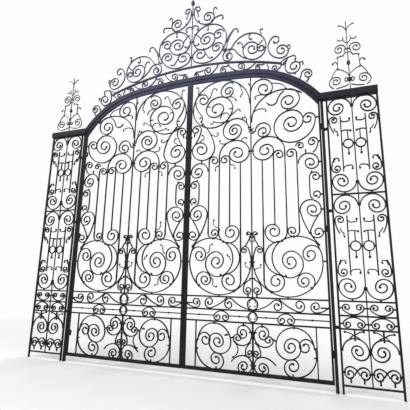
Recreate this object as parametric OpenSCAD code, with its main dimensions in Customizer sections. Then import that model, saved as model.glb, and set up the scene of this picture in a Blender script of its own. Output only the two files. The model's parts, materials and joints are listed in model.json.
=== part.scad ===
/* [Opening and posts] */
// Clear width between the two gate posts
opening_w = 3936; // [3800:8:4100]
// Width and depth of each square gate post
post_w = 38; // [34:1:50]
// Gap between a post and the hinge stile beside it
hinge_gap = 6; // [5:1:12]
// Gap between the two meeting stiles
meeting_gap = 10; // [10:1:20]

/* [Leaves] */
// Width of the hinge and meeting stiles
stile_w = 26; // [22:1:34]
// Depth of the leaf frame, front to back
frame_d = 36; // [30:1:44]
// Height of the leaf's bottom edge above the ground
ground_gap = 85; // [60:5:120]
// Height of each cross rail
rail_h = 20; // [16:1:28]
// Top edge of the rail over the bottom panel
kick_rail_z = 736; // [700:2:780]
// Top edge of the rail between the two narrow bands
band_rail_z = 890; // [860:2:920]
// Top edge of the rail under the tall scroll panel
lock_rail_z = 1061; // [1030:1:1100]
// Thickness of the curved top rail
top_rail_t = 48; // [40:1:56]
// Side of the upright square bars
bar_w = 16; // [12:1:20]
// Distance from one upright bar to the next
bar_pitch = 160; // [150:1:170]

/* [Scrolls] */
// Thickness of the scroll bar, seen from the front
scroll_t = 12; // [8:1:16]
// Depth of the scroll bar, front to back
scroll_d = 14; // [10:1:20]
// Radius of the rounded eye that ends a scroll
eye_r = 11; // [8:1:14]
// Share of the radius that is left after each half turn
coil = 0.66; // [0.6:0.01:0.7]

/* [Arch] */
// Height of the arch's highest point
arch_top_z = 4480; // [4450:5:4520]
// Thickness of the arch bar, seen from the front
arch_t = 68; // [56:1:76]
// Depth of the arch bar, front to back
arch_d = 60; // [50:1:80]
// Radius of the arch's middle stretch, along its top edge
crown_r = 10000; // [9000:100:12000]
// Half width of the middle stretch
crown_half = 950; // [900:10:1000]
// Radius of each shoulder, along its top edge
shoulder_r = 1460; // [1440:5:1500]
// Gap between the arch and the leaves' top rails
arch_gap = 6; // [5:1:10]

/* [Crest] */
// Thickness and depth of the slim arch above the main arch
slim_t = 22; // [18:1:28]
// Height of the slim arch's centre line at the middle
slim_z = 4680; // [4650:5:4700]
// Radius of the slim arch's centre line
slim_r = 4700; // [4600:50:4800]
// Half width of the slim arch
slim_half = 1460; // [1400:10:1500]
// Height of the tip of the middle finial
finial_z = 6180; // [6000:10:6300]
// Side of the middle rod
rod_w = 14; // [12:1:18]

/* [Side panels] */
// Gap between a post and the side panel's first stile
tie_gap = 34; // [30:1:50]
// Width of the side panel over its outer stiles
panel_w = 660; // [600:10:700]
// Width and depth of the side panel's stiles
panel_stile_w = 24; // [20:1:30]
// Width and depth of the side panel's middle bar
mid_bar_w = 14; // [12:1:20]
// Height of the head bar over post and panel
head_h = 95; // [80:1:110]
// Depth of the head bar
head_d = 95; // [80:1:110]
// Top face of the head bar
head_z = 3852; // [3820:2:3880]
// Top edge of the rail half way up the tall side panel
mid_rail_z = 2404; // [2360:4:2440]

/* [Hinges] */
// Distance of the hinge pin behind the middle of the gate
pin_y = 60; // [50:1:70]
// Radius of the hinge pin
pin_r = 9; // [7:1:12]
// Running clearance around the hinge pin
pin_play = 0.5; // [0.3:0.1:1]
// Wall of the hinge eye around the pin
eye_wall = 8; // [6:1:10]
// Height of a hinge eye
eye_h = 60; // [50:1:80]
// Heights of the three hinges
hinge_low = 420; // [380:10:460]
hinge_mid = 1960; // [1900:10:2020]
hinge_high = 3400; // [3300:10:3480]

/* [Hidden] */
// Seat between neighbouring pieces that are not face to face
seat = 0.3;
// Depth of the flat that a scroll gets where it bears on a bar
flat = 0.7;
half = opening_w/2;
post_c = half + post_w/2;
leaf_in = meeting_gap/2;
leaf_out = half - hinge_gap;
inner_l = leaf_in + stile_w;
inner_r = leaf_out - stile_w;
leaf_c = (inner_l + inner_r)/2;
panel_l = half + post_w + tie_gap;
panel_r = panel_l + panel_w;
panel_c = (panel_l + panel_r)/2;
bottom_rail_top = ground_gap + rail_h + 24;
hinge_c = half - hinge_gap/2;
HINGE_Z = [hinge_low, hinge_mid, hinge_high];

// Centre of the crown and of the shoulder circles of the arch
crown_angle = asin(crown_half/crown_r);
crown_c = [0, arch_top_z - crown_r];
shoulder_c = crown_c + (crown_r - shoulder_r)*[sin(crown_angle), cos(crown_angle)];

// Geometry of arcs. An arc is [centre, radius, start angle, sweep]

function unit(a) = [cos(a), sin(a)];
function heading(v) = atan2(v[1], v[0]);
function wrap(a) = a < 0 ? a + 360 : a >= 360 ? a - 360 : a;

// Point at distance ra from a and rb from b, to the left (+1) or right (-1) of the way from a to b
function meet(a, ra, b, rb, side) =
    let (d = norm(b - a), x = (d*d + ra*ra - rb*rb)/(2*d), y = sqrt(max(0, ra*ra - x*x)), u = (b - a)/d)
    a + x*u + side*y*[-u[1], u[0]];

// Half turns that wind inwards from the outer circle, each one tighter by the coil share
function winding(c, r, a, s, turns, first = 180) = turns < 0.01 ? [] :
    let (sweep = min(first, turns*180), e = a + s*sweep, r_next = r*coil)
    concat([[c, r, a, s*sweep]], winding(c + (r - r_next)*unit(e), r_next, e, s, turns - sweep/180));

// Sweep from angle a to angle b, anticlockwise for s = 1 and clockwise for s = -1
function sweep_to(a, b, s) = s*wrap(s*(b - a));

// An end of a scroll is [x, z, radius, half turns]
function c_arcs(a, b, r, side, s) =
    let (ca = [a[0], a[1]], cb = [b[0], b[1]], m = meet(ca, r - a[2], cb, r - b[2], side),
        ta = heading(ca - m), tb = heading(cb - m))
    concat([[m, r, ta, sweep_to(ta, tb, s)]], winding(ca, a[2], ta, -s, a[3]), winding(cb, b[2], tb, s, b[3]));

function s_arcs(a, b, r, side, s) =
    let (ca = [a[0], a[1]], cb = [b[0], b[1]], m = meet(ca, r - a[2], cb, r + b[2], side),
        ta = heading(ca - m), tb = heading(cb - m))
    concat([[m, r, ta, sweep_to(ta, tb, s)]], winding(ca, a[2], ta, -s, a[3]),
        winding(cb, b[2], tb + 180, -s, b[3]));

// Flat drawings of bars

module arc_band(arc, t = scroll_t) {
    reach = 1.3*(arc[1] + t);
    translate(arc[0]) intersection() {
        difference() {
            circle(arc[1] + t/2, $fn = arc[1] > 400 ? 256 : 96);
            circle(arc[1] - t/2, $fn = arc[1] > 400 ? 256 : 96);
        }
        polygon(concat([[0, 0]], [for (k = [0:6]) reach*unit(arc[2] + arc[3]*k/6)]));
    }
}

// Step that keeps the edges of joined bands from meeting in one point
step = 0.02;

// Bands along a list of arcs
module bands(arcs, t = scroll_t) {
    for (k = [0:len(arcs) - 1]) let (arc = arcs[k], w = t + step*k) {
        if (abs(arc[3]) > 180) {
            arc_band([arc[0], arc[1], arc[2], arc[3]/2], w);
            arc_band([arc[0], arc[1], arc[2] + arc[3]/2, arc[3]/2], w);
        } else arc_band(arc, w);
    }
}

// Round eye at the end of the last arc
module eye_of(arcs) {
    last = arcs[len(arcs) - 1];
    translate(last[0] + (last[1] + scroll_t/2 - eye_r)*unit(last[2] + last[3]))
        circle(eye_r + step*(len(arcs) + 1), $fn = 24);
}

// Arc that leads into a winding at angle a: bowed the same way for lead > 0, the other way for lead < 0
function lead_arc(c, r, a, s, lead, sweep) = lead > 0
    ? [c + (r - lead)*unit(a), lead, a - s*sweep, s*sweep]
    : [c + (r - lead)*unit(a), -lead, a + 180 + s*sweep, -s*sweep];

// Scroll wound from a bar or a free start: outer centre, radius, start angle, direction, half turns
module crook(x, z, r, a, s, turns, first = 180, lead = 0, sweep = 0) {
    arcs = winding([x, z], r, a, s, turns, first);
    bands(arcs);
    eye_of(arcs);
    if (lead != 0) bands([lead_arc([x, z], r, a, s, lead, sweep)], scroll_t - step);
}

// Clip that binds two bars side by side
module collar(x, z, a = 0, l = 2*scroll_t + 8, h = 16) translate([x, z]) rotate(a)
    square([l, h], center = true);

// Thin stem through the points p. Each stretch bows to its left by a share of its length
module stem(p, bow, tip = 9, t = scroll_t*0.75) {
    for (k = [0:len(p) - 2]) stretch(p[k], p[k + 1], bow[k], t);
    for (k = [1:len(p) - 1]) translate(p[k]) circle(k == len(p) - 1 ? tip : t/2 + 0.4, $fn = 24);
}
module stretch(a, b, bow, t) {
    d = norm(b - a);
    h = abs(bow)*d;
    r = (d*d/4 + h*h)/(2*h);
    side = sign(bow);
    c = (a + b)/2 - side*(r - h)*[a[1] - b[1], b[0] - a[0]]/d;
    ta = heading(a - c);
    arc_band([c, r, ta, sweep_to(ta, heading(b - c), -side)], t);
}

module two_ended(arcs, a_turns) {
    bands(arcs);
    eye_of(arcs);
    eye_of([for (k = [0:ceil(a_turns - 0.01)]) arcs[k]]);
}

module c_scroll(a, b, r, side, s) two_ended(c_arcs(a, b, r, side, s), a[3]);
module s_scroll(a, b, r, side, s) two_ended(s_arcs(a, b, r, side, s), a[3]);

module ring(x, z, r, t = scroll_t) translate([x, z]) difference() {
    circle(r + t/2, $fn = 96);
    circle(r - t/2, $fn = 96);
}

module rod(x1, z1, x2, z2, t = scroll_t) {
    run = [x2 - x1, z2 - z1];
    translate([x1, z1]) rotate(heading(run)) translate([0, -t/2]) square([norm(run), t]);
}

// Drawing in the gate's plane to a solid: the drawing's second axis is up
module upright(depth) rotate([90, 0, 0]) linear_extrude(depth, center = true) children();

module box(x1, x2, z1, z2) translate([x1, z1]) square([x2 - x1, z2 - z1]);

// The region under the arch, drawn in by the given distance from the arch's top edge
module under_arch(inset) {
    foot = shoulder_c[0] + shoulder_r - inset;
    translate(crown_c) intersection() {
        circle(crown_r - inset, $fn = 256);
        polygon([[0, 0], 1.1*crown_r*unit(90.05 - crown_angle), 1.1*crown_r*unit(89.95 + crown_angle)]);
    }
    for (side = [0, 1]) mirror([side, 0]) translate(shoulder_c) circle(shoulder_r - inset, $fn = 256);
    box(-foot, foot, 0, shoulder_c[1]);
}

leaf_top_inset = arch_t + arch_gap;
field_inset = leaf_top_inset + top_rail_t;

// Region inside the leaf's frame between two heights
module field(z1, z2) intersection() {
    box(inner_l + seat, inner_r - seat, z1, z2);
    under_arch(field_inset + seat);
}

module both_halves() {
    children();
    translate([2*leaf_c, 0]) mirror([1, 0]) children();
}

iron = [0.13, 0.13, 0.15];

// Moves the drawing's middle of the gate so that the left post's foot is the origin
module placed() translate([post_c, 0, 0]) children();
module left() placed() mirror([1, 0, 0]) children();
module right() placed() children();

// Scroll drawings, in millimetres from the middle of the gate and from the ground

bar_x = [for (k = [-4:4]) leaf_c + k*bar_pitch];
bar_1 = bar_x[0];
bar_2 = bar_x[1];
bar_3 = bar_x[2];
bar_4 = bar_x[3];
strip_w = bar_1 - bar_w/2 - inner_l;
half_w = leaf_c - bar_w/2 - inner_l;

// Heights in the lower drawing are above the lock rail
bowl_a = [inner_l + 167, 562, 113, 3.2];
bowl_b = [leaf_c - 95, 623, 47, 2.6];
bowl_r = half_w/2 - 23;
bowl_m = meet([bowl_a[0], bowl_a[1]], bowl_r - bowl_a[2], [bowl_b[0], bowl_b[1]], bowl_r - bowl_b[2], -1);
heart_r = strip_w/2 - 18;
heart_x = inner_l + strip_w/2 + 8;
heart_z = 1149;

module lower_half() {
    // Wide bowl between the stile and the middle bar
    c_scroll(bowl_a, bowl_b, bowl_r, -1, 1);
    bands([[bowl_m, bowl_r, 146, 20]]);
    // Large scroll inside it
    crook(inner_l + 413, 513, 268, 60, -1, 4.67, first = 120, lead = 386, sweep = 78);
    // Foot of the fourth bar
    crook(bar_4 - 133, 207, 133, 0, -1, 3.4);
    rod(bar_4, 200, bar_4, 940, bar_w);
    crook(inner_l + 254, 215, 107, 226, -1, 3.7, first = 226);
    // Bow between the large scroll and the fourth bar
    bands([[[bar_4 - bar_w/2 - 7 - 222, 516], 222, 84, -170]]);
    crook(leaf_c - 72, 84, 50, 190, 1, 2.5, lead = 130, sweep = 85);
    // Knot on the middle bar
    rod(leaf_c - 95, 670, leaf_c - 16, 811);
    crook(leaf_c - 47, 842, 30, -45, 1, 1.6);
    // Feet of the first and second bars
    crook(bar_2 + 148, 869, 148, 180, 1, 3.7);
    rod(bar_2, 860, bar_2, 940, bar_w);
    crook(bar_1 + 75, 869, 75, 180, 1, 2.9);
    rod(bar_1, 860, bar_1, 940, bar_w);
    // Heart against the meeting stile
    crook(heart_x, heart_z, heart_r, -12, 1, 3.8, first = 192, lead = 964, sweep = 30);
    crook(inner_l + 92, 852, 80, 20, -1, 2.8, lead = 750, sweep = 16);
    // Collars
    collar(inner_l + 22, 470, 0, 50);
    collar(bowl_m[0], 8, 90, 26);
    collar(leaf_c - 18, 460, 0, 40);
    collar(bar_1 + 75, 795, 90, 34);
    collar(bar_2 + 70, 742, 55, 34);
    collar(bar_4 - 95, 70, 105, 36);
    collar(inner_l + 178, 836, 0, 36);
    collar(inner_l + 14, 852, 0, 30);
    collar(inner_l + 18, heart_z, 0, 40);
    collar(leaf_c - 60, 24, 90, 50);
    collar(leaf_c - 20, 240, 0, 40);
    collar(leaf_c - 20, 800, 0, 40);
    collar(inner_l + 190, 135, 45, 36);
    collar(inner_l + 505, 280, 60, 36);
}

// Heights in the upper drawings are above the arch's highest point
loop_r = half_w/2 - 19;
loop_x = leaf_c - bar_w/2 - scroll_t/2 - loop_r;
crook_r = (leaf_c - bar_w/2 - scroll_t/2 - bar_2)/2;
top_heart_z = -1615;

module strip_half() {
    low = lock_rail_z + heart_z + heart_r + 70 - arch_top_z;
    high = top_heart_z - heart_r - 70;
    c_scroll([inner_l + 92, high, 64, 2.6], [inner_l + 92, low, 64, 2.6], 3000, -1, -1);
    collar(inner_l + 14, high, 0, 30);
    collar(inner_l + 14, low, 0, 30);
    collar(heart_x - 34, high + 66, 90, 34);
    collar(heart_x - 34, low - 66, 90, 34);
}

// Drawing that is the same in both halves of a leaf
module upper_half() {
    crook(heart_x, top_heart_z, heart_r, 0, 1, 3.7);
    collar(inner_l + 18, top_heart_z, 0, 40);
    // Crook of the second bar, and the small crooks of the first and third
    crook(bar_2 + crook_r, -1402, crook_r, 180, -1, 4.33, first = 150);
    rod(bar_2, -1500, bar_2, -1395, bar_w);
    crook(bar_1 + 66, -1460, 66, 180, -1, 2.5);
    rod(bar_1, -1520, bar_1, -1450, bar_w);
    crook(bar_3 - 66, -1460, 66, 0, 1, 2.5);
    rod(bar_3, -1520, bar_3, -1450, bar_w);
    collar(leaf_c - 20, -1363, 0, 40);
}

module upper_inner() {
    // Volute beside the stile that reaches up into the loop
    crook(inner_l + 212, -1252, 182, 10, -1, 3.8, lead = 735, sweep = 38);
    crook(inner_l + 102, -928, 72, -10, 1, 2.6, lead = 500, sweep = 26);
    // Large loop from the middle bar
    crook(loop_x - loop_r + 325, -596, 325, 180, 1, 4.49, first = 160, lead = loop_r, sweep = 180);
    crook(loop_x - 313, -434, 104, 180, -1, 2.8, lead = 350, sweep = 42);
    crook(loop_x + 150, -346, 146, 72, 1, 3.6, first = 108);
    // Scroll under the loop
    crook(loop_x + 184, -1010, 140, 180, 1, 4, lead = 191, sweep = 107);
    bands([[[loop_x + 229, -1030], 212, 12, 61]]);
    collar(inner_l + 18, -1252, 0, 40);
    collar(inner_l + 18, -928, 0, 40);
    collar(inner_l + 18, -600, 0, 44);
    collar(inner_l + 190, -1446, 90, 44);
    collar(inner_l + 190, -850, 45, 44);
    collar(leaf_c - 22, -990, 0, 40);
    collar(loop_x + 184, -1160, 90, 40);
    collar(loop_x + 106, -846, 55, 44);
    collar(loop_x + 190, -210, 110, 44);
}

module upper_outer() {
    translate([2*leaf_c, 0]) mirror([1, 0]) {
        // Large scroll with its small end at the hinge stile
        crook(inner_l + 368, -1050, 245, 270, 1, 4.5, lead = 325, sweep = 90);
        crook(inner_l + 125, -968, 83, 180, -1, 2.6);
        crook(inner_l + 85, -1320, 62, 180, -1, 2.5, lead = 200, sweep = 50);
        crook(inner_l + 270, -1360, 50, 0, 1, 2.4);
        // Scroll over it, with its tail
        crook(inner_l + 400, -623, 157, 90, 1, 3.5);
        bands([[[inner_l + 318, -690], 250, 55, -40], [[inner_l + 634, -605], 80, 195, 145]]);
        collar(inner_l + 18, -960, 0, 40);
        collar(inner_l + 14, -1320, 0, 30);
        collar(inner_l + 420, -790, 90, 44);
        collar(inner_l + 190, -1446, 90, 44);
    }
    // Long arc from the middle bar to the top rail
    bands([[[leaf_c + bar_w/2 + 6 + 450, -910], 450, 52, 128]]);
    crook(leaf_c + bar_w/2 + 6 + 158, -397, 158, 180, -1, 3.4);
    crook(leaf_c + 178, -1056, 108, 170, -1, 3.44, first = 260, lead = -62, sweep = 80);
    collar(leaf_c + 178, -1166, 90, 40);
    collar(leaf_c + 172, -222, 90, 40);
}

band_low = band_rail_z + scroll_t/2 - flat;
band_mid = (band_rail_z + lock_rail_z - rail_h)/2;
band_ring = (lock_rail_z - rail_h - band_rail_z)/2 + flat - scroll_t/2;
module band_half() {
    // Running scrolls between the two middle rails
    crook(inner_l + 150, band_low + 60, 60, -90, 1, 2.6, lead = 200, sweep = 50);
    crook(inner_l + 355, band_low + 68, 68, -70, -1, 2.6, lead = 600, sweep = 26);
    crook(leaf_c - 314, band_low + 68, 68, 45, 1, 2.6, lead = -400, sweep = 42);
    ring(leaf_c, band_mid, band_ring);
    collar(inner_l + 14, band_low + 60, 0, 160);
}

ring_mid = (kick_rail_z + band_rail_z - rail_h)/2;
ring_r = (band_rail_z - rail_h - kick_rail_z)/2 + flat - scroll_t/2;
ring_top = band_rail_z - rail_h + flat - scroll_t/2;
module ring_half() {
    c_scroll([inner_l + 461, ring_top - 78, 44, 2.2], [inner_l + 582, ring_top - 78, 44, 2.2], 115, -1, -1);
    rod(inner_l + 620, ring_mid, leaf_c - ring_r, ring_mid, 10);
    rod(inner_l, ring_mid, inner_l + 425, ring_mid, 10);
    translate([leaf_c - 180, ring_mid]) circle(11, $fn = 24);
    translate([inner_l + 200, ring_mid]) circle(11, $fn = 24);
    ring(leaf_c, ring_mid, ring_r);
}

bottom_mid = (bottom_rail_top + kick_rail_z - rail_h)/2;
module bottom_half() {
    rod(inner_l + 159, 0, inner_l + 159, kick_rail_z);
    // Large scroll with a smaller one inside its bowl
    crook(inner_l + 424, bottom_mid + 47, 232, 180, -1, 5.2);
    translate([inner_l, bottom_mid]) {
        c_scroll([283, 67, 83, 2.6], [456, -200, 101, 3], 267, 1, 1);
    }
    // Pair of scrolls that meets the one of the other half
    translate([leaf_c, bottom_mid]) {
        c_scroll([-209, 99, 52, 2.4], [-123, 189, 84, 3], 131, -1, 1);
        crook(-124, -213, 110, 90, -1, 3.8, lead = 200, sweep = 55);
        crook(-54, -68, 46, 180, 1, 2.4, lead = 150, sweep = 60);
        collar(-28, 189, 0, 44);
        collar(-20, -68, 0, 30);
        collar(-20, -213, 0, 30);
    }
    collar(inner_l + 675, bottom_mid + 110, 20, 60);
    collar(inner_l + 176, bottom_mid + 47, 0, 40);
    collar(inner_l + 176, bottom_mid - 60, 0, 40);
    collar(leaf_c - 124, bottom_rail_top + 14, 90, 40);
    collar(inner_l + 424, kick_rail_z - rail_h - 8, 90, 40);
    collar(inner_l + 456, bottom_rail_top + 4, 90, 40);
    collar(leaf_c - 123, kick_rail_z - rail_h - 8, 90, 60);
}

// Fixed ironwork

module post_side() color(iron) translate([half, -post_w/2, 0]) cube([post_w, post_w, head_z - head_h]);

module head_side() color(iron) translate([half, -head_d/2, head_z - head_h])
    cube([panel_r - half, head_d, head_h]);

module arch_bar() color(iron) upright(arch_d) difference() {
    under_arch(0);
    under_arch(arch_t);
    box(-2*half, 2*half, 0, head_z - head_h);
    for (side = [0, 1]) mirror([side, 0]) box(half, 2*half, 0, head_z);
}

// Heights of the arch's top edge and of the slim arch's centre line
function arch_z(x) = x < crown_half ? crown_c[1] + sqrt(crown_r*crown_r - x*x)
    : shoulder_c[1] + sqrt(shoulder_r*shoulder_r - (x - shoulder_c[0])*(x - shoulder_c[0]));
slim_c = [0, slim_z - slim_r];
slim_angle = asin(slim_half/slim_r);
module slim_bar() color(iron) upright(slim_t)
    arc_band([slim_c, slim_r, 90 - slim_angle, 2*slim_angle], slim_t);

// Small scrolls that carry the slim arch on the main arch
module on_arch(x, r) translate([x, arch_z(x) + r + scroll_t/2 - flat]) children();
module arch_run_half() {
    on_arch(110, 44) crook(0, 0, 44, 76, 1, 2.6, lead = -120, sweep = 50);
    on_arch(305, 68) crook(0, 0, 68, -60, -1, 2.8, lead = 300, sweep = 44);
    on_arch(560, 56) crook(0, 0, 56, 70, 1, 2.6, lead = -60, sweep = 70);
    on_arch(835, 64) {
        crook(0, 0, 64, -100, 1, 2.8, lead = 260, sweep = 75);
        bands([[[34, 190], 254, -85, 50]]);
    }
    on_arch(1110, 44) crook(0, 0, 44, 60, 1, 2.4, lead = -70, sweep = 60);
    on_arch(1360, 46) crook(0, 0, 46, -60, -1, 2.4, lead = 170, sweep = 60);
    on_arch(1235, 30) stem([[0, -34], [30, 20], [10, 80], [60, 110]], [-0.2, 0.2, 0.3], 12);
}
module arch_run() color(iron) upright(scroll_d) for (side = [0, 1]) mirror([side, 0]) difference() {
    intersection() {
        arch_run_half();
        translate(slim_c) circle(slim_r - slim_t/2 - seat, $fn = 256);
    }
    under_arch(-seat);
}

module finial() color(iron) {
    translate([-rod_w/2, -rod_w/2, slim_z + slim_t/2]) cube([rod_w, rod_w, finial_z - slim_z - slim_t/2 - 150]);
    translate([0, 0, finial_z - 270]) scale([1, 1, 1.3]) sphere(34, $fn = 32);
    translate([0, 0, finial_z - 150]) cylinder(h = 150, r1 = 26, r2 = 3, $fn = 32);
    translate([0, 0, finial_z - 190]) cylinder(h = 40, r1 = 12, r2 = 26, $fn = 32);
}

// Heights in the crest drawing are above the middle of the slim arch
module crest_inner() {
    // Large loop beside the middle rod and the bowl under it
    crook(311, 440, 290, 0, 1, 5.2, first = 160, lead = 450, sweep = 32);
    c_scroll([140, 180, 118, 3], [452, 263, 92, 2.8], 320, 1, 1);
    crook(477, 512, 85, 20, 1, 2.6);
    c_scroll([82, 1085, 52, 1.9], [273, 860, 112, 3.2], 290, 1, 1);
    stem([[385, 890], [377, 1020], [428, 1010]], [0.05, 0.42]);
    stem([[330, 780], [480, 860], [532, 792]], [0.1, 0.4], 12, 12);
    stem([[605, 330], [715, 528], [790, 480]], [0.08, 0.42], 12);
    stem([[262, 735], [280, 640]], [0.15], 11);
    stem([[235, 235], [290, 140], [360, 112]], [-0.05, -0.3], 12);
    stem([[40, 600], [100, 560], [150, 500]], [0.3, 0.1]);
    stem([[50, 420], [120, 408]], [-0.4], 11);
    stem([[8, 720], [80, 760], [96, 690]], [0.4, 0.4], 11);
    collar(12, 470, 0, 60);
    collar(14, 180, 0, 40);
    collar(12, 1000, 0, 50);
    collar(280, 741, 90, 44);
    collar(210, 290, 70, 44);
    // Second group
    crook(655, 80, 112, 30, 1, 3.3, lead = -500, sweep = 28);
    crook(962, 135, 268, 140, -1, 4.89, first = 160, lead = 900, sweep = 19);
    crook(1156, 118, 66, 100, 1, 2.4);
    stem([[1168, 345], [1145, 405], [1180, 425]], [0.1, 0.4]);
    stem([[860, 170], [840, 250], [790, 260]], [-0.2, -0.4], 12);
    stem([[1000, 390], [970, 330], [1000, 296]], [-0.2, -0.4], 11);
    collar(572, 200, 40, 60, 22);
    collar(1210, 100, 0, 50);
}
// Heights here are above the middle of the arch
module crest_outer() {
    c_scroll([1368, 388, 62, 1.6], [1455, 170, 108, 3], 220, 1, 1);
    crook(1615, -115, 108, 180, 1, 3, lead = 300, sweep = 30);
    crook(1806, -274, 74, 170, -1, 2.9, lead = -300, sweep = 34);
    stem([[1452, -10], [1600, 58], [1655, -5]], [0.1, 0.45], 14);
    stem([[1545, 170], [1590, 235], [1560, 250]], [-0.2, -0.4]);
    stem([[1715, -110], [1740, -60], [1760, -100]], [0.2, 0.4]);
    collar(1500, -30, 50, 90, 24);
    collar(1650, -226, 60, 40);
    collar(1820, -370, 55, 60);
}
module crest_side() color(iron) upright(scroll_d) difference() {
    union() {
        translate([0, slim_z]) crest_inner();
        translate([0, arch_top_z]) crest_outer();
    }
    under_arch(-seat);
    intersection() {
        translate(slim_c) circle(slim_r + slim_t/2 + seat, $fn = 256);
        box(-slim_half, slim_half + seat, 0, slim_z + slim_t);
    }
    box(-half, rod_w/2 + seat, 0, 2*finial_z);
}

stile_1 = panel_l;
stile_2 = panel_c - mid_bar_w/2;
stile_3 = panel_r - panel_stile_w;
panel_top = head_z - head_h;
PANEL_RAILS = [ground_gap, kick_rail_z - rail_h, band_rail_z - rail_h, lock_rail_z - rail_h, mid_rail_z - rail_h];

module panel_stiles_side() color(iron) {
    for (x = [stile_1, stile_3]) translate([x, -panel_stile_w/2, 0])
        cube([panel_stile_w, panel_stile_w, panel_top]);
    translate([stile_2, -mid_bar_w/2, ground_gap]) cube([mid_bar_w, mid_bar_w, panel_top - ground_gap]);
    for (z = [hinge_low + 300, hinge_mid + 200, hinge_high - 100]) translate([half + post_w, -10, z])
        cube([tie_gap, 20, 40]);
}

// Rails run on both sides of the middle bar
module panel_rails_side() color(iron) for (z = PANEL_RAILS)
    for (x = [[stile_1 + panel_stile_w, stile_2], [stile_2 + mid_bar_w, stile_3]])
        translate([x[0], -panel_stile_w/2, z]) cube([x[1] - x[0], panel_stile_w, rail_h]);

// Half of the panel: field edges, its middle and the radius of a scroll that fills it
panel_a = stile_1 + panel_stile_w;
panel_b = stile_2;
panel_m = (panel_a + panel_b)/2;
panel_fill = (panel_b - panel_a)/2 + flat - scroll_t/2;

module tall_field(z1, z2) {
    crook(panel_m, z2 - panel_fill - scroll_t/2 + flat, panel_fill, 0, 1, 4);
    crook(panel_m, z1 + panel_fill + 18, panel_fill, 0, -1, 4);
    collar(panel_m, z1 + 6, 90, 40);
    translate([panel_a, z2]) {
        crook(57, -327, 50, 180, -1, 2.6, lead = 330, sweep = 32);
        stem([[62, -440], [105, -500], [108, -545]], [-0.1, -0.1], 10);
        rod(151, -276, 151, -500);
        stem([[151, -330], [230, -355], [262, -320]], [-0.2, -0.4], 12);
    }
    rod(panel_a + 151, z1 + 300, panel_a + 151, z2 - 300);
    translate([panel_b, (z1 + z2)/2]) {
        ring(-69, 0, 60);
        rod(-69, 60, -69, 190, 10);
        stem([[-140, 185], [-69, 190], [-30, 180]], [0.1, 0.1], 12);
        rod(-69, -60, -69, -138, 10);
        translate([-69, -138]) circle(14, $fn = 24);
        collar(-136, 0, 0, 30);
        collar(-6, 0, 0, 20);
    }
    translate([panel_a, z1]) {
        crook(60, 340, 52, 180, 1, 2.6, lead = 300, sweep = 30);
        stem([[151, 330], [220, 372], [262, 330]], [0.2, 0.4], 12);
        stem([[40, 430], [66, 480], [100, 450]], [0.2, 0.4], 10);
    }
}
module panel_half() {
    tall_field(mid_rail_z, panel_top);
    tall_field(lock_rail_z, mid_rail_z - rail_h);
    // Narrow bands
    translate([panel_m, band_low]) c_scroll([-78, 76, 42, 2.4], [78, 76, 42, 2.4], 150, 1, 1);
    translate([panel_m, ring_top]) c_scroll([-78, -76, 42, 2.4], [78, -76, 42, 2.4], 150, -1, -1);
    collar(panel_a + 12, band_low + 76, 0, 40);
    collar(panel_b - 12, band_low + 76, 0, 40);
    collar(panel_a + 12, ring_top - 76, 0, 40);
    collar(panel_b - 12, ring_top - 76, 0, 40);
    // Bottom field
    translate([panel_m, bottom_mid]) {
        crook(0, 57, panel_fill, 180, -1, 4.3);
        crook(-72, -182, 66, 60, 1, 2.8, lead = 150, sweep = 40);
        crook(72, -182, 66, 120, -1, 2.8, lead = 150, sweep = 40);
        stem([[-60, 190], [20, 250], [100, 280]], [0.1, 0.1], 12);
        stem([[60, 190], [-10, 230], [-110, 270]], [-0.1, -0.1], 12);
        collar(-140, -182, 0, 30);
        collar(140, -182, 0, 30);
        collar(0, 240, 90, 130);
        collar(-72, -262, 90, 60);
        collar(72, -262, 90, 60);
    }
}
module panel_scrolls_side() color(iron) upright(scroll_d) for (side = [0, 1])
    translate([side*2*panel_c, 0]) mirror([side, 0]) intersection() {
        panel_half();
        union() for (k = [0:len(PANEL_RAILS) - 1])
            box(panel_a + seat, panel_b - seat, PANEL_RAILS[k] + rail_h + seat,
                (k == len(PANEL_RAILS) - 1 ? panel_top : PANEL_RAILS[k + 1]) - seat);
    }

// Half of a side finial; heights are above the head bar and distances from its rod
module panel_finial_half() {
    crook(-180, 138, 86, 215, -1, 3.1, first = 130);
    bands([[[-180, 138], 86, 215, 35], [[-180, 452], 400, 270, 24]]);
    ring(-36, 165, 26);
    stem([[-236, 205], [-168, 330], [-150, 430], [-205, 435]], [0.05, -0.15, -0.45], 14);
    stem([[-8, 215], [-60, 290], [-140, 336]], [-0.15, -0.1], 12);
    rod(-145, 330, -135, 526, 9);
    bands([[[-95, 640], 62, -40, 50]]);
    crook(-95, 646, 70, 10, 1, 2.8);
    stem([[-10, 590], [-60, 536], [-138, 524]], [-0.15, -0.1], 12, 12);
    stem([[-4, 730], [-50, 836], [-118, 800]], [0.15, 0.45], 10);
    stem([[-4, 930], [-40, 1000], [-100, 1030]], [-0.1, -0.1], 9);
    collar(-20, 640, 0, 40);
}
module panel_finial_side() color(iron) {
    translate([panel_c - 6, -6, head_z]) cube([12, 12, 1080]);
    translate([panel_c, 0, head_z + 418]) scale([1, 1, 1.5]) sphere(25, $fn = 32);
    translate([panel_c, 0, head_z + 165]) scale([1, 0.5, 1]) sphere(34, $fn = 32);
    upright(scroll_d) difference() {
        for (side = [0, 1]) translate([panel_c, head_z]) mirror([side, 0]) panel_finial_half();
        box(0, 2*panel_r, 0, head_z);
    }
}

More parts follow.
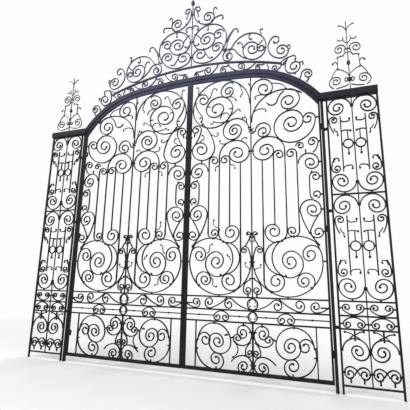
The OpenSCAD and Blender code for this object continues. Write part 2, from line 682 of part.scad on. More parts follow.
module hinge_pins_side() color(iron) for (z = HINGE_Z) translate([0, 0, z - eye_h/2 - 16.5]) {
    linear_extrude(16) {
        translate([hinge_c, pin_y]) circle(pin_r + 6, $fn = 32);
        polygon([[hinge_c - pin_r - 6, pin_y], [half + 2, post_w/2], [half + post_w - 4, post_w/2],
            [hinge_c + pin_r + 6, pin_y]]);
    }
    translate([hinge_c, pin_y, 0]) cylinder(h = eye_h + 26, r = pin_r, $fn = 32);
}

// Moving ironwork of a leaf

module hinge_eyes_side() color(iron) for (z = HINGE_Z) difference() {
    union() {
        translate([leaf_out - stile_w + 4, frame_d/2, z - eye_h/2]) cube([stile_w - 8, pin_y - frame_d/2, eye_h]);
        translate([hinge_c, pin_y, z - eye_h/2]) cylinder(h = eye_h, r = pin_r + pin_play + eye_wall, $fn = 48);
    }
    translate([hinge_c, pin_y, z - eye_h]) cylinder(h = 2*eye_h, r = pin_r + pin_play, $fn = 48);
}

module hinge_stile_side() color(iron) upright(frame_d) intersection() {
    box(inner_r, leaf_out, ground_gap, arch_top_z);
    under_arch(leaf_top_inset);
}

module meeting_stile_side() color(iron) upright(frame_d) intersection() {
    box(leaf_in, inner_l, ground_gap, arch_top_z);
    under_arch(leaf_top_inset);
}

module top_rail_side() color(iron) upright(frame_d) intersection() {
    box(inner_l, inner_r, lock_rail_z, arch_top_z);
    difference() {
        under_arch(leaf_top_inset);
        under_arch(field_inset);
    }
}

module cross_rails_side() color(iron) {
    translate([inner_l, -frame_d/2, ground_gap]) cube([inner_r - inner_l, frame_d, bottom_rail_top - ground_gap]);
    for (z = [kick_rail_z, band_rail_z, lock_rail_z]) translate([inner_l, -12, z - rail_h])
        cube([inner_r - inner_l, 24, rail_h]);
}

BAR_FOOT = [for (h = [940, 940, 964, 940, 0]) lock_rail_z + h];
BAR_HEAD = [for (h = [1520, 1500, 1520, 1525, 0]) arch_top_z - h];
module bar_drawing() {
    for (k = [0:3]) {
        box(bar_x[k] - bar_w/2, bar_x[k] + bar_w/2, BAR_FOOT[k], BAR_HEAD[k]);
        box(bar_x[8 - k] - bar_w/2, bar_x[8 - k] + bar_w/2, BAR_FOOT[k], BAR_HEAD[k]);
    }
    box(leaf_c - bar_w/2, leaf_c + bar_w/2, lock_rail_z, arch_top_z);
}

module upright_bars_side() color(iron) {
    upright(bar_w) intersection() {
        bar_drawing();
        under_arch(field_inset + seat);
    }
}

module upper_scrolls_side() color(iron) upright(scroll_d) intersection() {
    difference() {
        union() {
            translate([0, arch_top_z]) {
                both_halves() {
                    strip_half();
                    upper_half();
                }
                upper_inner();
                upper_outer();
            }
        }
        offset_bars();
    }
    field(lock_rail_z + 1299, arch_top_z);
}
module offset_bars() {
    for (k = [0:3]) {
        box(bar_x[k] - bar_w/2 - seat, bar_x[k] + bar_w/2 + seat, BAR_FOOT[k], BAR_HEAD[k]);
        box(bar_x[8 - k] - bar_w/2 - seat, bar_x[8 - k] + bar_w/2 + seat, BAR_FOOT[k], BAR_HEAD[k]);
    }
    box(leaf_c - bar_w/2 - seat, leaf_c + bar_w/2 + seat, lock_rail_z, arch_top_z);
}
module lower_scrolls_side() color(iron) upright(scroll_d) intersection() {
    difference() {
        both_halves() translate([0, lock_rail_z]) lower_half();
        offset_bars();
    }
    field(lock_rail_z + seat, lock_rail_z + 1297);
}
module scroll_band_side() color(iron) upright(scroll_d) intersection() {
    both_halves() band_half();
    field(band_rail_z + seat, lock_rail_z - rail_h - seat);
}
module ring_band_side() color(iron) upright(scroll_d) intersection() {
    both_halves() ring_half();
    field(kick_rail_z + seat, band_rail_z - rail_h - seat);
}
module bottom_scrolls_side() color(iron) upright(scroll_d) intersection() {
    union() {
        both_halves() bottom_half();
        rod(leaf_c, 0, leaf_c, 1000, 20);
    }
    field(bottom_rail_top + seat, kick_rail_z - rail_h - seat);
}

left() post_side();  // post_left
right() post_side();  // post_right
placed() arch_bar();  // arch
placed() arch_run();  // arch_scrolls
placed() slim_bar();  // slim_arch
placed() finial();  // middle_finial
left() crest_side();  // crest_scrolls_left
right() crest_side();  // crest_scrolls_right
left() head_side();  // head_left
right() head_side();  // head_right
left() panel_stiles_side();  // panel_stiles_left
right() panel_stiles_side();  // panel_stiles_right
left() panel_rails_side();  // panel_rails_left
right() panel_rails_side();  // panel_rails_right
left() panel_scrolls_side();  // panel_scrolls_left
right() panel_scrolls_side();  // panel_scrolls_right
left() panel_finial_side();  // panel_finial_left
right() panel_finial_side();  // panel_finial_right
left() hinge_pins_side();  // hinge_pins_left
right() hinge_pins_side();  // hinge_pins_right
left() hinge_stile_side();  // hinge_stile_left
right() hinge_stile_side();  // hinge_stile_right
left() meeting_stile_side();  // meeting_stile_left
right() meeting_stile_side();  // meeting_stile_right
left() top_rail_side();  // top_rail_left
right() top_rail_side();  // top_rail_right
left() cross_rails_side();  // cross_rails_left
right() cross_rails_side();  // cross_rails_right
left() upright_bars_side();  // upright_bars_left
right() upright_bars_side();  // upright_bars_right
left() upper_scrolls_side();  // upper_scrolls_left
right() upper_scrolls_side();  // upper_scrolls_right
left() lower_scrolls_side();  // lower_scrolls_left
right() lower_scrolls_side();  // lower_scrolls_right
left() scroll_band_side();  // scroll_band_left
right() scroll_band_side();  // scroll_band_right
left() ring_band_side();  // ring_band_left
right() ring_band_side();  // ring_band_right
left() bottom_scrolls_side();  // bottom_scrolls_left
right() bottom_scrolls_side();  // bottom_scrolls_right
left() hinge_eyes_side();  // hinge_eyes_left
right() hinge_eyes_side();  // hinge_eyes_right
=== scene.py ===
"""Looks of the wrought iron driveway gate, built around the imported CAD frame."""

import json
import math

import bpy
import bmesh
import numpy as np
from mathutils import Matrix, Vector

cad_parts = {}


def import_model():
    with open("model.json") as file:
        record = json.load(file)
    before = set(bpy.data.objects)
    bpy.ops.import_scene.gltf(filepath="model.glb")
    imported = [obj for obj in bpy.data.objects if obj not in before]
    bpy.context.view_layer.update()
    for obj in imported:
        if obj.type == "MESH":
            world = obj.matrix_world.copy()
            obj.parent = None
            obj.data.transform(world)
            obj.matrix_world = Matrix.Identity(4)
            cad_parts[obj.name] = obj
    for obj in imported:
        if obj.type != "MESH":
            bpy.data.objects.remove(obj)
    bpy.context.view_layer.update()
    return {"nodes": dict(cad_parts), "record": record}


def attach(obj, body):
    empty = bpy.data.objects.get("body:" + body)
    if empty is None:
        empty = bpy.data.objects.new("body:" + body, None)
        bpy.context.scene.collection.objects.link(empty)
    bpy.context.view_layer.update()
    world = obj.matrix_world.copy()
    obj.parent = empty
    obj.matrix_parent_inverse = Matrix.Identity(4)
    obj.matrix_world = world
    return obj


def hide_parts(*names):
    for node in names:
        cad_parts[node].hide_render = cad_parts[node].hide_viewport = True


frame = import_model()

# Places on the gate, in metres
GATE_C = 1.987        # its middle
LEAF_C = 0.9835       # from there to a leaf's middle
INNER = 0.031         # from there to the inner edge of a leaf's field
ARCH_TOP = 4.480
SLIM_TOP = 4.680

# Scroll bars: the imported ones, plumper and deeper, with eased edges
EYE_R = 0.011         # packed eye
EYE_BOSS_R = 0.015    # rolled eye over it
PLUMP = 0.0018        # added on each side of a bar
BAR_D = 0.022
EASE = 0.0016

# Frame bars
FRAME_EASE = 0.0022
ARCH_EASE = 0.003
SLIM_D, SLIM_PLUMP, SLIM_EASE = 0.036, 0.0012, 0.0024
UPRIGHT_EASE, UPRIGHT_DEEPER = 0.0018, 1.35

HALVES = ("left", "right")
LEAVES = ("left_leaf", "right_leaf")
FIXED = ("fixed_frame", "fixed_frame")


# Materials

SKY_GLARE_TINT = (0.064, 0.070, 0.122)      # painted glare: the bluish tint that the bright sky lends the arch and crest high up
SKY_GLARE_FROM, SKY_GLARE_TO = 3.7, 4.7     # heights between which the painted glare sets in
GRIME = (0.012, 0.010, 0.009)
DARK_RUST = (0.022, 0.010, 0.006)
WORN = (0.060, 0.056, 0.056)
BACKGROUND = (0.985, 0.99, 1.0)


def new_material(name):
    mat = bpy.data.materials.new(name)
    mat.use_nodes = True
    nt = mat.node_tree
    nt.nodes.clear()
    out = nt.nodes.new("ShaderNodeOutputMaterial")
    bsdf = nt.nodes.new("ShaderNodeBsdfPrincipled")
    nt.links.new(bsdf.outputs[0], out.inputs[0])
    return mat, nt, bsdf, out


def noise(nt, coord, scale, detail=4.0, rough=0.6, stretch=None):
    """Noise over the object's own coordinates, stretched along an axis if asked."""
    if stretch:
        m = nt.nodes.new("ShaderNodeMapping")
        m.inputs["Scale"].default_value = stretch
        nt.links.new(coord, m.inputs[0])
        coord = m.outputs[0]
    n = nt.nodes.new("ShaderNodeTexNoise")
    n.inputs["Scale"].default_value = scale
    n.inputs["Detail"].default_value = detail
    n.inputs["Roughness"].default_value = rough
    nt.links.new(coord, n.inputs["Vector"])
    return n.outputs["Fac"]


def ramp(nt, fac, stops):
    r = nt.nodes.new("ShaderNodeValToRGB")
    els = r.color_ramp.elements
    while len(els) < len(stops):
        els.new(0.5)
    for e, (pos, value) in zip(els, stops):
        e.position = pos
        e.color = (value, value, value, 1.0)
    nt.links.new(fac, r.inputs[0])
    return r.outputs[0]


def map_range(nt, value, low, high, to=1.0):
    m = nt.nodes.new("ShaderNodeMapRange")
    m.inputs["From Min"].default_value = low
    m.inputs["From Max"].default_value = high
    m.inputs["To Max"].default_value = to
    nt.links.new(value, m.inputs[0])
    return m.outputs[0]


def mix(nt, fac, a, b):
    m = nt.nodes.new("ShaderNodeMix")
    m.data_type = "RGBA"
    for socket, value in ((0, fac), (6, a), (7, b)):
        if isinstance(value, float):
            m.inputs[socket].default_value = value
        elif isinstance(value, tuple):
            m.inputs[socket].default_value = (*value, 1.0)
        else:
            nt.links.new(value, m.inputs[socket])
    return m.outputs[2]


def maths(nt, operation, a, b):
    m = nt.nodes.new("ShaderNodeMath")
    m.operation = operation
    nt.links.new(a, m.inputs[0])
    nt.links.new(b, m.inputs[1])
    return m.outputs[0]


def bump(nt, height, strength, distance, normal=None):
    b = nt.nodes.new("ShaderNodeBump")
    b.inputs["Strength"].default_value = strength
    b.inputs["Distance"].default_value = distance
    nt.links.new(height, b.inputs["Height"])
    if normal:
        nt.links.new(normal, b.inputs["Normal"])
    return b.outputs[0]


def iron(name, dark, pale, rust, rust_from, forge=55.0, sky_glare=0.0):
    """Old black paint on forged iron: mottled, with painted bluish sky glare high up, and rust
    coming through.
    """
    mat, nt, bsdf, _ = new_material(name)
    co = nt.nodes.new("ShaderNodeTexCoord").outputs["Object"]
    broad = noise(nt, co, 1.7, 3.0)
    mottle = noise(nt, co, 19.0, 5.0, 0.65)
    speck = noise(nt, co, 160.0, 3.0, 0.7)
    streak = noise(nt, co, 9.0, 4.0, 0.6, (3.0, 3.0, 0.35))
    sep = nt.nodes.new("ShaderNodeSeparateXYZ")
    nt.links.new(co, sep.inputs[0])
    col = mix(nt, ramp(nt, mottle, [(0.38, 0.0), (0.68, 1.0)]), dark, pale)
    # painted glare: a bluish tint mixed in with height, standing for the bright sky behind the
    # arch and crest
    col = mix(nt, map_range(nt, sep.outputs[2], SKY_GLARE_FROM, SKY_GLARE_TO, sky_glare), col, SKY_GLARE_TINT)
    col = mix(nt, ramp(nt, broad, [(0.42, 0.0), (0.7, 0.3)]), col, GRIME)
    flake = mix(nt, ramp(nt, speck, [(0.4, 0.0), (0.65, 1.0)]), rust, DARK_RUST)
    where = mix(nt, 0.5, streak, broad)
    col = mix(nt, ramp(nt, where, [(rust_from, 0.0), (rust_from + 0.14, 0.6)]), col, flake)
    edge = nt.nodes.new("ShaderNodeNewGeometry").outputs["Pointiness"]
    rubbed = mix(nt, 0.5, edge, mottle)
    col = mix(nt, ramp(nt, rubbed, [(0.60, 0.0), (0.70, 0.45)]), col, WORN)
    nt.links.new(col, bsdf.inputs["Base Color"])
    nt.links.new(ramp(nt, mottle, [(0.3, 0.5), (0.75, 0.78)]), bsdf.inputs["Roughness"])
    bsdf.inputs["Specular IOR Level"].default_value = 0.16
    hammered = bump(nt, noise(nt, co, forge, 2.0, 0.5), 0.55, 0.0016)
    nt.links.new(bump(nt, speck, 0.5, 0.0005, hammered), bsdf.inputs["Normal"])
    return mat


MATS = {
    "frame_iron": iron("frame_iron", (0.0055, 0.0055, 0.0075), (0.015, 0.015, 0.018),
                       (0.034, 0.017, 0.010), 0.60, forge=30.0, sky_glare=0.85),
    "scroll_iron": iron("scroll_iron", (0.006, 0.0055, 0.0075), (0.017, 0.0165, 0.020),
                        (0.034, 0.018, 0.012), 0.58, sky_glare=0.9),
    "hinge_iron": iron("hinge_iron", (0.008, 0.007, 0.007), (0.022, 0.020, 0.018),
                       (0.05, 0.022, 0.010), 0.50),
}

record = frame["record"]
slot_of = {s["node"]: s["material_slot"] for s in record["subparts"]}
body_of = {n: body for body, nodes in record["behaviour"]["bodies"].items() for n in nodes}
for name, obj in frame["nodes"].items():
    obj.data.materials.clear()
    obj.data.materials.append(MATS[slot_of[name]])


# Camera at the place and angle that the photograph was taken from

FOCAL_PX, FRAME_PX = 346.12, 410
YAW, PITCH, ROLL = -0.34258, 0.21141, 0.01933
CAMERA_AT = (GATE_C + 1.9655, -4.7048, 1.279)


def added(name, data):
    ob = bpy.data.objects.new(name, data)
    bpy.context.scene.collection.objects.link(ob)
    return ob


def photo_camera():
    cam = bpy.data.cameras.new("camera")
    ob = added("camera", cam)
    cam.sensor_width = 36.0
    cam.lens = FOCAL_PX * cam.sensor_width / FRAME_PX
    cam.clip_start, cam.clip_end = 0.05, 200.0
    forward = Vector((math.sin(YAW) * math.cos(PITCH), math.cos(YAW) * math.cos(PITCH),
                      math.sin(PITCH)))
    level = Vector((math.cos(YAW), -math.sin(YAW), 0.0))
    up = level.cross(forward)
    right = level * math.cos(ROLL) + up * math.sin(ROLL)
    top = -level * math.sin(ROLL) + up * math.cos(ROLL)
    rows = Matrix((right, top, -forward)).transposed().to_4x4()
    ob.matrix_world = Matrix.Translation(CAMERA_AT) @ rows
    bpy.context.scene.camera = ob


photo_camera()


# Bars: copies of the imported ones, fuller and with eased edges

WELD = 0.00004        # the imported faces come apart; corners closer than this are one


def placed(name, me, body, slot, smooth_below=40.0):
    """A finished mesh as a piece that rides on its body."""
    ob = added(name, me)
    me.materials.clear()
    me.materials.append(MATS[slot])
    me.polygons.foreach_set("use_smooth", [True] * len(me.polygons))
    me.set_sharp_from_angle(angle=math.radians(smooth_below))
    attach(ob, body)
    return ob


def iron_piece(name, body, slot, verts, faces, smooth_below=40.0):
    me = bpy.data.meshes.new(name)
    me.from_pydata(verts, [], faces)
    me.validate()
    bm = bmesh.new()
    bm.from_mesh(me)
    bmesh.ops.recalc_face_normals(bm, faces=bm.faces)
    bm.to_mesh(me)
    bm.free()
    return placed(name, me, body, slot, smooth_below)


def welded(node):
    bm = bmesh.new()
    bm.from_mesh(frame["nodes"][node].data)
    bmesh.ops.remove_doubles(bm, verts=bm.verts, dist=WELD)
    bm.normal_update()
    return bm


def is_flat(face):
    """Front or back of a bar, not its wall."""
    return abs(face.normal.y) >= 0.5


def outward(normals):
    """How far and where a corner moves when each wall that meets in it moves out by one."""
    if not normals:
        return Vector()
    mean = sum(normals, Vector()).normalized()
    return mean / max(0.55, min(mean.dot(n) for n in normals))


def full_bar(node, depth=BAR_D, out=PLUMP, ease=EASE):
    """A scroll node as forged bars: fuller, deeper, with eased edges along both faces."""
    bm = welded(node)
    flats = [f for f in bm.faces if is_flat(f)]
    walls = [f for f in bm.faces if not is_flat(f)]
    normals = {}
    for f in walls:
        n = Vector((f.normal.x, 0.0, f.normal.z)).normalized()
        for v in f.verts:
            seen = normals.setdefault(v.index, [])
            if all(n.dot(m) < 0.9999 for m in seen):
                seen.append(n)
    verts, flat_at, wall_at = [], {}, {}

    def put(v, push, y):
        verts.append((v.co.x + push.x, math.copysign(y, v.co.y), v.co.z + push.z))
        return len(verts) - 1

    for v in bm.verts:
        step = outward(normals.get(v.index))
        flat_at[v.index] = put(v, step * (out - ease), depth / 2)
        wall_at[v.index] = put(v, step * out, depth / 2 - ease)
    faces = [[flat_at[v.index] for v in f.verts] for f in flats]
    faces += [[wall_at[v.index] for v in f.verts] for f in walls]
    for e in bm.edges:
        if len(e.link_faces) == 2 and is_flat(e.link_faces[0]) != is_flat(e.link_faces[1]):
            a, b = e.verts[0].index, e.verts[1].index
            faces.append([flat_at[a], flat_at[b], wall_at[b], wall_at[a]])
    bm.free()
    ob = iron_piece(node + "_forged", body_of[node], slot_of[node], verts, faces, 35.0)
    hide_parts(node)


def eased_bar(node, ease=FRAME_EASE, deeper=1.0):
    """A frame node with its edges eased, and deeper front to back where asked."""
    bm = welded(node)
    for v in bm.verts:
        v.co.y *= deeper
    bmesh.ops.dissolve_limit(bm, angle_limit=math.radians(0.5), verts=bm.verts, edges=bm.edges)
    sharp = [e for e in bm.edges
             if len(e.link_faces) == 2 and e.calc_face_angle(0.0) > math.radians(35)]
    bmesh.ops.bevel(bm, geom=sharp, offset=ease, segments=2, profile=0.6, affect="EDGES",
                    clamp_overlap=True)
    me = bpy.data.meshes.new(node + "_eased")
    bm.to_mesh(me)
    bm.free()
    ob = placed(node + "_eased", me, body_of[node], slot_of[node], 50.0)
    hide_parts(node)


def wall_islands(me):
    """Corners of each wall face of the CAD, whose faces share no corners, as (x, z) arrays."""
    parent = list(range(len(me.vertices)))

    def root(i):
        while parent[i] != i:
            parent[i] = parent[parent[i]]
            i = parent[i]
        return i

    for p in me.polygons:
        first = root(p.vertices[0])
        for v in p.vertices[1:]:
            parent[root(v)] = first
    islands = {}
    for p in me.polygons:
        if not is_flat(p):
            islands.setdefault(root(p.vertices[0]), set()).update(p.vertices)
    return [np.array([(me.vertices[i].co.x, me.vertices[i].co.z) for i in island])
            for island in islands.values()]


def eyes_of(node):
    """Middles of a node's round eyes: walls that fit a circle of the eye's radius."""
    found = []
    for pts in wall_islands(frame["nodes"][node].data):
        if len(pts) < 12:
            continue
        rows = np.c_[2 * pts, np.ones(len(pts))]
        cx, cz, k = np.linalg.lstsq(rows, (pts ** 2).sum(1), rcond=None)[0]
        r = math.sqrt(max(0.0, k + cx ** 2 + cz ** 2))
        off = np.abs(np.hypot(pts[:, 0] - cx, pts[:, 1] - cz) - r).max()
        is_eye = off < 0.0002 and abs(r - EYE_R) < 0.0008
        if is_eye and all(math.hypot(x - cx, z - cz) > 0.004 for x, z in found):
            found.append((float(cx), float(cz)))
    return found


# Forged trimmings: each part is (corners, faces)

def skin(loops):
    """The part whose surface runs through the loops and is closed at both ends."""
    m = len(loops[0])
    verts = [corner for loop in loops for corner in loop]
    faces = [[i * m + k, i * m + (k + 1) % m, (i + 1) * m + (k + 1) % m, (i + 1) * m + k]
             for i in range(len(loops) - 1) for k in range(m)]
    faces += [list(range(m)), list(range(len(verts) - m, len(verts)))]
    return verts, faces


def joined(parts):
    verts, faces = [], []
    for vs, fs in parts:
        faces += [[i + len(verts) for i in f] for f in fs]
        verts += vs
    return verts, faces


def turned(x, z, profile, sides=20):
    """A part turned about an axis along y: profile is (radius, y) from front to back."""
    steps = [math.tau * k / sides for k in range(sides)]
    return skin([[(x + r * math.cos(t), y, z + r * math.sin(t)) for t in steps]
                 for r, y in profile])


def boss(x, z, r, depth):
    """A round boss whose faces are slightly domed."""
    y = -depth / 2
    front = [(r * 0.45, y - r * 0.056), (r * 0.8, y), (r * 0.96, y + r * 0.14), (r, y + r * 0.3)]
    return turned(x, z, front + [(a, -b) for a, b in reversed(front)])


def on_circle(x, z, r, start, sweep, n):
    """n + 1 points along an arc, angles in radians."""
    turns = [start + sweep * k / n for k in range(n + 1)]
    return [(x + r * math.cos(t), z + r * math.sin(t)) for t in turns]


def arc_points(a, b, bow):
    """Arc from a to b whose bulge to the left of travel is bow times its span."""
    a, b = np.array(a, float), np.array(b, float)
    d = np.linalg.norm(b - a)
    h = abs(bow) * d
    r = (d * d / 4 + h * h) / (2 * h)
    side = 1 if bow > 0 else -1
    left = np.array([a[1] - b[1], b[0] - a[0]]) / d
    c = (a + b) / 2 - side * (r - h) * left
    t0 = math.atan2(*(a - c)[::-1])
    t1 = math.atan2(*(b - c)[::-1])
    sweep = (t1 - t0) % math.tau if side < 0 else -((t0 - t1) % math.tau)
    n = max(3, int(abs(sweep) / math.radians(12)) + 1)
    return on_circle(*c, r, t0, sweep, n)


def swept(path, widths, section):
    """section(width) gives the (side, y) loop that runs along the path of (x, z) points."""
    loops = []
    for i, (x, z) in enumerate(path):
        ax, az = path[max(0, i - 1)]
        bx, bz = path[min(len(path) - 1, i + 1)]
        d = math.hypot(bx - ax, bz - az) or 1.0
        nx, nz = -(bz - az) / d, (bx - ax) / d
        loops.append([(x + nx * u, y, z + nz * u) for u, y in section(widths[i])])
    return skin(loops)


# From here on in millimetres, for one half of the gate; spray() mirrors it

TRIM_EASE = 1.6
STEM_W, STEM_D = 12.0, 17.0
LEAF_D = 13.0
LEAF_STEPS = 12
LEAF_TIP = 2.0        # least width of a leaf


def flat_section(depth):
    def loop(w):
        h, d, e = w / 2, depth / 2, min(TRIM_EASE, w * 0.3)
        return [(-h, -d + e), (-h + e, -d), (h - e, -d), (h, -d + e),
                (h, d - e), (h - e, d), (-h + e, d), (-h, d - e)]
    return loop


def leaf_section(w):
    """Thin at the rims, thick along the midrib."""
    h, t = w / 2, LEAF_D * min(1.0, 0.25 + w / 16.0)
    front = [(-h, -t * 0.22), (-h * 0.42, -t * 0.30), (0.0, -t * 0.5),
             (h * 0.42, -t * 0.30), (h, -t * 0.22)]
    return front + [(u, -y) for u, y in reversed(front)]


def stem(points, bows, tip=9, w=STEM_W):
    """A tapered stem through the points, ending in a round tip."""
    path = []
    for a, b, bow in zip(points, points[1:], bows):
        path += arc_points(a, b, bow)[0 if not path else 1:]
    n = len(path) - 1
    widths = [w * (0.72 + 0.36 * (1 - i / n)) for i in range(n + 1)]
    return [swept(path, widths, flat_section(STEM_D)), boss(*points[-1], tip, STEM_D + 3.0)]


def leaf(x, z, angle, length=60, width=22):
    """A pointed leaf that grows from the point in the direction angle, slightly curled."""
    r = (length * length + width * width) / (4 * width)
    ux, uz = math.cos(math.radians(angle)), math.sin(math.radians(angle))
    path, widths = [], []
    for k in range(LEAF_STEPS + 1):
        s = length * k / LEAF_STEPS
        bend = 0.05 * length * (s / length) ** 2
        path.append((x + ux * s - uz * bend, z + uz * s + ux * bend))
        half_w = math.sqrt(r * r - (s - length / 2) ** 2) - (r - width / 2)
        widths.append(max(LEAF_TIP, 2 * half_w))
    return [swept(path, widths, leaf_section)]


def arc_bar(x, z, r, start, sweep, w=13.0, depth=18.0):
    """A plain bent bar; angles in degrees."""
    n = max(4, int(abs(sweep) / 8))
    path = on_circle(x, z, r, math.radians(start), math.radians(sweep), n)
    return [swept(path, [w] * len(path), flat_section(depth))]


def gather(*groups):
    return [part for group in groups for part in group]


def spray(name, groups, dx=0.0, dz=0.0, bodies=LEAVES, slot="scroll_iron"):
    """Joins the groups of parts, moved by (dx, dz) metres, into one piece for each half."""
    verts, faces = joined(gather(*groups))
    for half, body, s in zip(HALVES, bodies, (-1, 1)):
        there = [(GATE_C + s * (x / 1000 + dx), y / 1000, z / 1000 + dz) for x, y, z in verts]
        iron_piece(name + "_" + half, body, slot, there, faces)


def twin_curls(z, r):
    """Two small curls back to back under the top of a ring on the leaf's middle bar."""
    c = LEAF_C * 1000
    return gather(*[stem([[c + s * 4, z + r - 7], [c + s * 0.60 * r, z + 0.20 * r],
                          [c + s * 0.36 * r, z - 0.38 * r]], [s * 0.16, s * 0.30], 9, 9.0)
                    for s in (-1, 1)])


def four_leaved_knot(z):
    c = LEAF_C * 1000
    leaves = [leaf(c + 4 * math.cos(math.radians(a)), z, a, 52, 19) for a in (38, 142, -38, -142)]
    return gather(*leaves, [boss(c, z, 15, 28.0)])


MOULD_IN, MOULD_OUT = 3.0, 40.0     # from the gate's middle
STILE_FACE = 18.0                   # from the gate's plane to the front of a stile
MOULD_ENDS = (92.0, 4392.0)


def moulding():
    """Flat moulding that closes over each meeting stile, front and back."""
    mid, w = (MOULD_IN + MOULD_OUT) / 2, MOULD_OUT - MOULD_IN
    rise = [(-0.5, 0.0), (-0.5, 2.6), (-0.36, 4.0), (-0.24, 4.0), (-0.17, 6.2)]
    profile = rise + [(-u, y) for u, y in reversed(rise)]
    parts = []
    for s in (-1, 1):
        loop = [(u * w - mid, s * (STILE_FACE + y)) for u, y in profile]
        parts.append(swept([(0.0, z) for z in MOULD_ENDS], [w, w], lambda _: loop))
    return parts


def knop(z, height, swell):
    """A swelling forged round a meeting stile, flat towards the other leaf."""
    steps = 8
    loops = []
    for k in range(steps + 1):
        s = math.sin(math.pi * k / steps) ** 0.7 * swell if 0 < k < steps else 1.0
        zz = z - height / 2 + height * k / steps
        x0, x1, y = MOULD_IN - 0.4, MOULD_OUT - 2 + s, STILE_FACE + 5.0 + s
        c = 5.0 + s * 0.5
        front = [(x0, -y + 2), (x0 + 2, -y), (x1 - c, -y), (x1, -y + c)]
        loops.append([(x, b, zz) for x, b in front + [(x, -b) for x, b in reversed(front)]])
    return [skin(loops)]


HINGE_HEIGHTS = (420.0, 1960.0, 3400.0)
RIVET_X, RIVET_R, RIVET_APART = 1949, 9.0, 32


def rivet(z):
    """A domed rivet head on the front of a hinge stile."""
    r = RIVET_R
    profile = [(r, -17.5), (r, -19.0), (r * 0.86, -21.6), (r * 0.5, -23.6), (r * 0.12, -24.2)]
    return [turned(RIVET_X, z, profile, 16)]


# The bars and their rolled eyes

SCROLLS = ("upper_scrolls", "lower_scrolls", "scroll_band", "bottom_scrolls", "crest_scrolls",
           "panel_scrolls")
FRAME_BARS = ("post", "head", "hinge_stile", "meeting_stile", "top_rail", "cross_rails",
              "panel_stiles", "panel_rails")

for half in HALVES:
    for node in SCROLLS + ("ring_band",):
        full_bar(node + "_" + half)
    for node in FRAME_BARS:
        eased_bar(node + "_" + half)
    eased_bar("upright_bars_" + half, UPRIGHT_EASE, UPRIGHT_DEEPER)
    for node in SCROLLS:
        full = node + "_" + half
        eyes = [boss(x, z, EYE_BOSS_R, BAR_D + 0.005) for x, z in eyes_of(full)]
        if eyes:
            iron_piece(node + "_eyes_" + half, body_of[full], slot_of[full], *joined(eyes))
full_bar("arch_scrolls")
full_bar("slim_arch", SLIM_D, SLIM_PLUMP, SLIM_EASE)
eased_bar("arch", ARCH_EASE)

# The sprays

# Upper field, from the leaf's inner edge and the top of the arch
spray("upper_sprays", [
    stem([[105, -349], [112, -225], [78, -195]], [-0.05, -0.4], 11),
    stem([[276, -430], [322, -380], [350, -290], [419, -290]], [-0.1, 0.05, 0.45], 12),
    leaf(256, -548, -20, 74),
    stem([[583, -440], [650, -448], [715, -490]], [0.1, 0.15], 9),
    leaf(708, -482, -62, 66),
    stem([[763, -239], [812, -351], [829, -440], [800, -470]], [0.06, 0.05, -0.35], 11),
    leaf(951, -312, 125, 64), leaf(682, -652, 165, 76),
    stem([[628, -800], [610, -735], [540, -708], [497, -740]], [-0.1, -0.25, -0.2], 9),
    leaf(500, -734, 240, 62),
    stem([[628, -776], [712, -709], [755, -675], [790, -700]], [0.04, 0.08, 0.4], 12),
    stem([[904, -936], [893, -850], [862, -790], [826, -820]], [0.1, 0.1, 0.4], 13),
    stem([[566, -845], [455, -848], [365, -815], [332, -852]], [0.06, 0.05, 0.4], 12),
    arc_bar(69, -749, 120, 42, -50),
    leaf(190, -752, -115, 70, 26), leaf(178, -716, -150, 56, 24),
    stem([[304, -980], [369, -1048], [425, -1066], [440, -1020]], [-0.08, -0.1, -0.4], 12),
    leaf(72, -969, -105, 78, 26),
    stem([[151, -1142], [214, -1092], [194, -1024]], [0.1, -0.25], 13),
    stem([[598, -1194], [510, -1200], [478, -1144]], [0.1, 0.3], 13),
    stem([[812, -1196], [840, -1152], [888, -1156]], [0.2, 0.3], 12)], INNER, ARCH_TOP)

# Outer part of it, from the leaf's middle
spray("outer_sprays", [
    stem([[244, -517], [156, -492], [86, -500], [74, -542]], [-0.08, -0.05, -0.4], 13),
    stem([[315, -330], [416, -352], [516, -440]], [0.05, 0.15], 10),
    leaf(511, -433, -50, 60),
    stem([[40, -762], [116, -722], [196, -730], [224, -766]], [0.1, 0.1, 0.4], 12)],
    LEAF_C, ARCH_TOP)

# Crest, from the gate's middle and the foot of the finial
spray("crest_sprays", [
    stem([[600, 188], [622, 330], [715, 524], [790, 476]], [0.04, 0.04, 0.42], 13),
    leaf(1140, 182, 50, 80, 24),
    stem([[113, 1043], [82, 1004], [104, 950]], [-0.15, 0.25], 13),
    leaf(108, 812, 72, 66, 26)], 0.0, SLIM_TOP, FIXED)

# Lowest field, from the leaf's inner edge and the ground
spray("foot_sprays", [
    arc_bar(649, 388, 105, 66, -136), [boss(685, 289, 13, 21.0)],
    leaf(632, 566, 188, 74, 26)], INNER)

# The rest from the gate's middle and the ground: in the rings of the two narrow bands
spray("ring_curls", [twin_curls(965.5, 75), twin_curls(803.0, 66)])

# Round the great roundels of the lower field
spray("roundel_curls", [
    stem([[520, 1962], [462, 2010], [428, 2118]], [-0.22, 0.18], 13),
    stem([[333, 1640], [372, 1716], [408, 1772]], [-0.12, 0.22], 12),
    stem([[682, 1548], [664, 1598], [634, 1618]], [0.08, 0.35], 12),
    stem([[392, 1312], [424, 1226], [478, 1184]], [0.16, -0.30], 13),
    stem([[1000, 1792], [1022, 1870], [1060, 1908]], [-0.12, 0.30], 11),
    stem([[967, 1792], [956, 1866], [930, 1906]], [0.10, -0.30], 11),
    stem([[1014, 1400], [1064, 1440], [1102, 1484]], [0.15, -0.28], 12),
    stem([[953, 1400], [916, 1450], [892, 1510]], [-0.15, 0.28], 12)])

# Tails under the small crooks on top of the bars, and the knot on the leaf's middle bar
spray("bar_tails", [
    stem([[512, 3001], [486, 2930], [443, 2868]], [0.10, -0.30], 12),
    stem([[654, 3000], [690, 2930], [741, 2878]], [-0.10, 0.30], 12),
    four_leaved_knot(3443)])

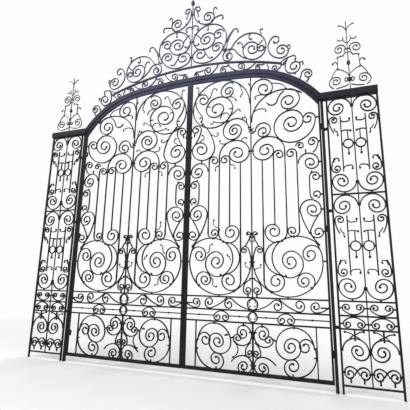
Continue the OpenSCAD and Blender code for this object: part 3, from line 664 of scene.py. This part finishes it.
spray("meeting_moulding", [moulding()], slot="frame_iron")
spray("meeting_knops", [knop(3450, 74, 11), knop(3120, 60, 9), knop(1052, 58, 8),
                        knop(2352, 50, 7)], slot="frame_iron")
spray("hinge_rivets", [rivet(z + side * RIVET_APART / 2) for z in HINGE_HEIGHTS
                       for side in (-1, 1)], slot="hinge_iron")


# Floor, sky and lamps

FLOOR_HALF = 60.0
FADE_FROM, FADE_TO = 2.5, 9.0     # distances from the gate over which the floor turns pale


def floor_material():
    """Pale matt ground that keeps the shadow and turns into the background further out."""
    mat, nt, bsdf, out = new_material("floor")
    co = nt.nodes.new("ShaderNodeTexCoord").outputs["Object"]
    tone = mix(nt, noise(nt, co, 3.0, 3.0), (0.74, 0.74, 0.735), (0.79, 0.79, 0.785))
    nt.links.new(tone, bsdf.inputs["Base Color"])
    bsdf.inputs["Roughness"].default_value = 0.95
    bsdf.inputs["Specular IOR Level"].default_value = 0.1
    far = nt.nodes.new("ShaderNodeVectorMath")
    far.operation = "LENGTH"
    nt.links.new(co, far.inputs[0])
    fade = map_range(nt, far.outputs["Value"], FADE_FROM, FADE_TO)
    path = nt.nodes.new("ShaderNodeLightPath")
    seen = maths(nt, "MAXIMUM", path.outputs["Is Camera Ray"], path.outputs["Is Glossy Ray"])
    glow = nt.nodes.new("ShaderNodeEmission")
    glow.inputs[0].default_value = (*BACKGROUND, 1.0)
    join = nt.nodes.new("ShaderNodeMixShader")
    nt.links.new(maths(nt, "MULTIPLY", fade, seen), join.inputs[0])
    nt.links.new(bsdf.outputs[0], join.inputs[1])
    nt.links.new(glow.outputs[0], join.inputs[2])
    nt.links.new(join.outputs[0], out.inputs[0])
    return mat


def floor():
    me = bpy.data.meshes.new("floor")
    s = FLOOR_HALF
    me.from_pydata([(-s, -s, 0), (s, -s, 0), (s, s, 0), (-s, s, 0)], [], [(0, 1, 2, 3)])
    ob = added("floor", me)
    ob.location = (GATE_C, 0.0, -0.001)
    me.materials.append(floor_material())


def world():
    """Soft even light, and a plain pale background where the camera looks past the gate."""
    w = bpy.data.worlds.new("world")
    bpy.context.scene.world = w
    w.use_nodes = True
    nt = w.node_tree
    nt.nodes.clear()
    out = nt.nodes.new("ShaderNodeOutputWorld")
    light = nt.nodes.new("ShaderNodeBackground")
    light.inputs[0].default_value = (0.93, 0.96, 1.0, 1.0)
    light.inputs[1].default_value = 0.72
    seen = nt.nodes.new("ShaderNodeBackground")
    seen.inputs[0].default_value = (*BACKGROUND, 1.0)
    seen.inputs[1].default_value = 1.0
    path = nt.nodes.new("ShaderNodeLightPath")
    join = nt.nodes.new("ShaderNodeMixShader")
    rays = maths(nt, "MAXIMUM", path.outputs["Is Camera Ray"],
                 path.outputs["Is Transmission Ray"])
    nt.links.new(rays, join.inputs[0])
    nt.links.new(light.outputs[0], join.inputs[1])
    nt.links.new(seen.outputs[0], join.inputs[2])
    nt.links.new(join.outputs[0], out.inputs[0])


def lamp(name, at, towards, power):
    data = bpy.data.lights.new(name, "AREA")
    data.shape = "SQUARE"
    data.size = 5.0
    data.energy = power
    ob = added(name, data)
    ob.location = at
    ob.rotation_mode = "QUATERNION"
    ob.rotation_quaternion = (Vector(towards) - Vector(at)).to_track_quat("-Z", "Y")


floor()
world()
lamp("key", (GATE_C - 5.0, -6.5, 8.0), (GATE_C, 0, 2.4), 620)
lamp("fill", (GATE_C + 7.0, -5.0, 4.0), (GATE_C, 0, 2.0), 240)
lamp("back", (GATE_C + 2.0, 8.0, 8.0), (GATE_C, 0, 2.6), 480)

bpy.context.scene.view_settings.view_transform = "Standard"
